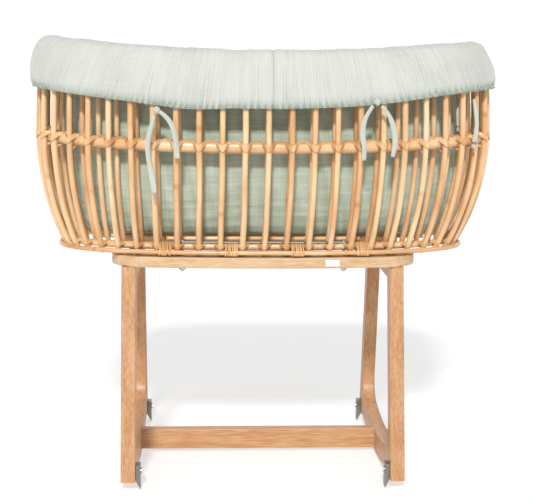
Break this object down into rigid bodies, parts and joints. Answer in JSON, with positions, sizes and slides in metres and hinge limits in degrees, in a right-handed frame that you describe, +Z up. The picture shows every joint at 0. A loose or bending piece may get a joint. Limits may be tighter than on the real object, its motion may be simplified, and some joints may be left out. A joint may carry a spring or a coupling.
{
  "type": "bassinet on stand",
  "caption": "Oval open-work rattan bassinet with a padded cloth liner and tie tapes, bolted to a wooden rocking stand with flip-down steel stays.",
  "frame": {"origin": "on the floor, under the middle of the basket", "axes": "+X along the basket to its right end, +Y to the back, +Z up; the front is at -Y"},
  "size_m": [0.9074, 0.5105, 0.8355],
  "materials": {
    "beech": "clear matt lacquer on pale beech",
    "rattan": "clear satin lacquer on peeled round rattan",
    "rattan_peel": "satin rattan peel",
    "stay_steel": "dark zinc, satin",
    "bright_steel": "bright zinc",
    "liner_cotton": "crinkled off-white cotton",
    "mattress_cloth": "plain off-white cotton cover",
    "tie_muslin": "thin off-white muslin tape",
    "label_card": "matt, blank"
  },
  "bodies": {
    "stand_and_basket": {"anchor_bolts": "bright_steel", "anchor_nuts": "bright_steel", "base_bindings": "rattan_peel", "base_rods": "rattan", "base_strap_front": "bright_steel", "base_strap_rear": "bright_steel", "bottom_member_left": "beech", "bottom_member_right": "beech", "cross_bars": "rattan", "frame_screws": "bright_steel", "front_leg_left": "beech", "front_leg_right": "beech", "front_plank": "beech", "inner_stakes_front": "rattan", "inner_stakes_left_end": "rattan", "inner_stakes_rear": "rattan", "inner_stakes_right_end": "rattan", "knot_end_inner": "tie_muslin", "knot_end_outer": "tie_muslin", "knot_front_left": "tie_muslin", "knot_front_right": "tie_muslin", "label_plate": "label_card", "liner_bag": "liner_cotton", "liner_roll": "liner_cotton", "lower_base_ring": "rattan", "outer_stakes_front": "rattan", "outer_stakes_left_end": "rattan", "outer_stakes_rear": "rattan", "outer_stakes_right_end": "rattan", "rear_leg_left": "beech", "rear_leg_right": "beech", "rear_plank": "beech", "rim_pole": "rattan", "stabiliser_pivots": "bright_steel", "stretcher": "beech", "tie_end_inner": "tie_muslin", "tie_end_outer": "tie_muslin", "tie_front_left_a": "tie_muslin", "tie_front_left_b": "tie_muslin", "tie_front_right_a": "tie_muslin", "tie_front_right_b": "tie_muslin", "top_member_left": "beech", "top_member_right": "beech", "upper_base_ring": "rattan", "waist_bindings": "rattan_peel", "waist_ring": "rattan"},
    "stabiliser_front_left": {"stabiliser_front_left": "stay_steel"},
    "stabiliser_front_right": {"stabiliser_front_right": "stay_steel"},
    "stabiliser_rear_left": {"stabiliser_rear_left": "stay_steel"},
    "stabiliser_rear_right": {"stabiliser_rear_right": "stay_steel"},
    "mattress": {"mattress": "mattress_cloth"}
  },
  "joints": [
    {"name": "stabiliser_front_left_flip", "type": "hinge", "parent": "stand_and_basket", "child": "stabiliser_front_left", "pos_m": [-0.239, -0.2288, 0.033], "axis": [1, 0, 0], "range_deg": [0, 180]},
    {"name": "stabiliser_front_right_flip", "type": "hinge", "parent": "stand_and_basket", "child": "stabiliser_front_right", "pos_m": [0.227, -0.2288, 0.033], "axis": [1, 0, 0], "range_deg": [0, 180]},
    {"name": "stabiliser_rear_left_flip", "type": "hinge", "parent": "stand_and_basket", "child": "stabiliser_rear_left", "pos_m": [-0.239, 0.2288, 0.033], "axis": [-1, 0, 0], "range_deg": [0, 180]},
    {"name": "stabiliser_rear_right_flip", "type": "hinge", "parent": "stand_and_basket", "child": "stabiliser_rear_right", "pos_m": [0.227, 0.2288, 0.033], "axis": [-1, 0, 0], "range_deg": [0, 180]},
    {"name": "mattress_lift", "type": "slide", "parent": "stand_and_basket", "child": "mattress", "axis": [0, 0, 1], "range_m": [0, 0.42]}
  ]
}
